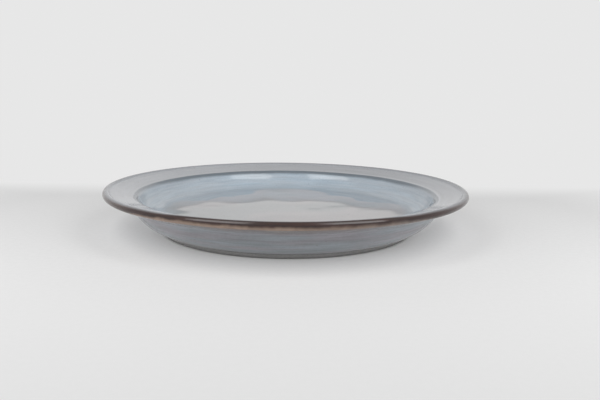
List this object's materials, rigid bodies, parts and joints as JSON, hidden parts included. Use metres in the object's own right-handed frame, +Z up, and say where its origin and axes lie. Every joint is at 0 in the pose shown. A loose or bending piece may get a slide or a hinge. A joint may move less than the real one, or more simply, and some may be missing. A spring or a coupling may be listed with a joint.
{
  "type": "stoneware dinner plate",
  "caption": "Round glazed stoneware dinner plate: shallow coved well, sloping flange, rolled iron-brown lip and a bare foot ring; holds and serves food.",
  "frame": {"origin": "centre of the foot ring's resting face", "axes": "+Z up along the plate's axis of revolution, -Y towards the viewer of the picture, +X to the viewer's right"},
  "size_m": [0.265, 0.265, 0.0317],
  "materials": {
    "bare_clay": "dry unglazed fired clay, fine grain",
    "grey_blue_glaze": "glossy reactive glaze, grey-blue with streaks round the plate",
    "pale_blue_glaze": "glossy reactive glaze, pale blue, pooled on the floor of the well",
    "slate_glaze": "glossy, the glaze worn thin and dark over the shoulder",
    "amber_glaze": "glossy, iron glaze run thin to amber",
    "iron_brown_glaze": "glossy dark iron-brown glaze"
  },
  "bodies": {
    "root": {"stoneware_body": "bare_clay", "base_glaze": "grey_blue_glaze", "outer_wall_glaze": "grey_blue_glaze", "amber_fringe_glaze": "amber_glaze", "lip_iron_glaze": "iron_brown_glaze", "flange_glaze": "grey_blue_glaze", "shoulder_line_glaze": "slate_glaze", "well_glaze": "pale_blue_glaze"}
  },
  "joints": []
}
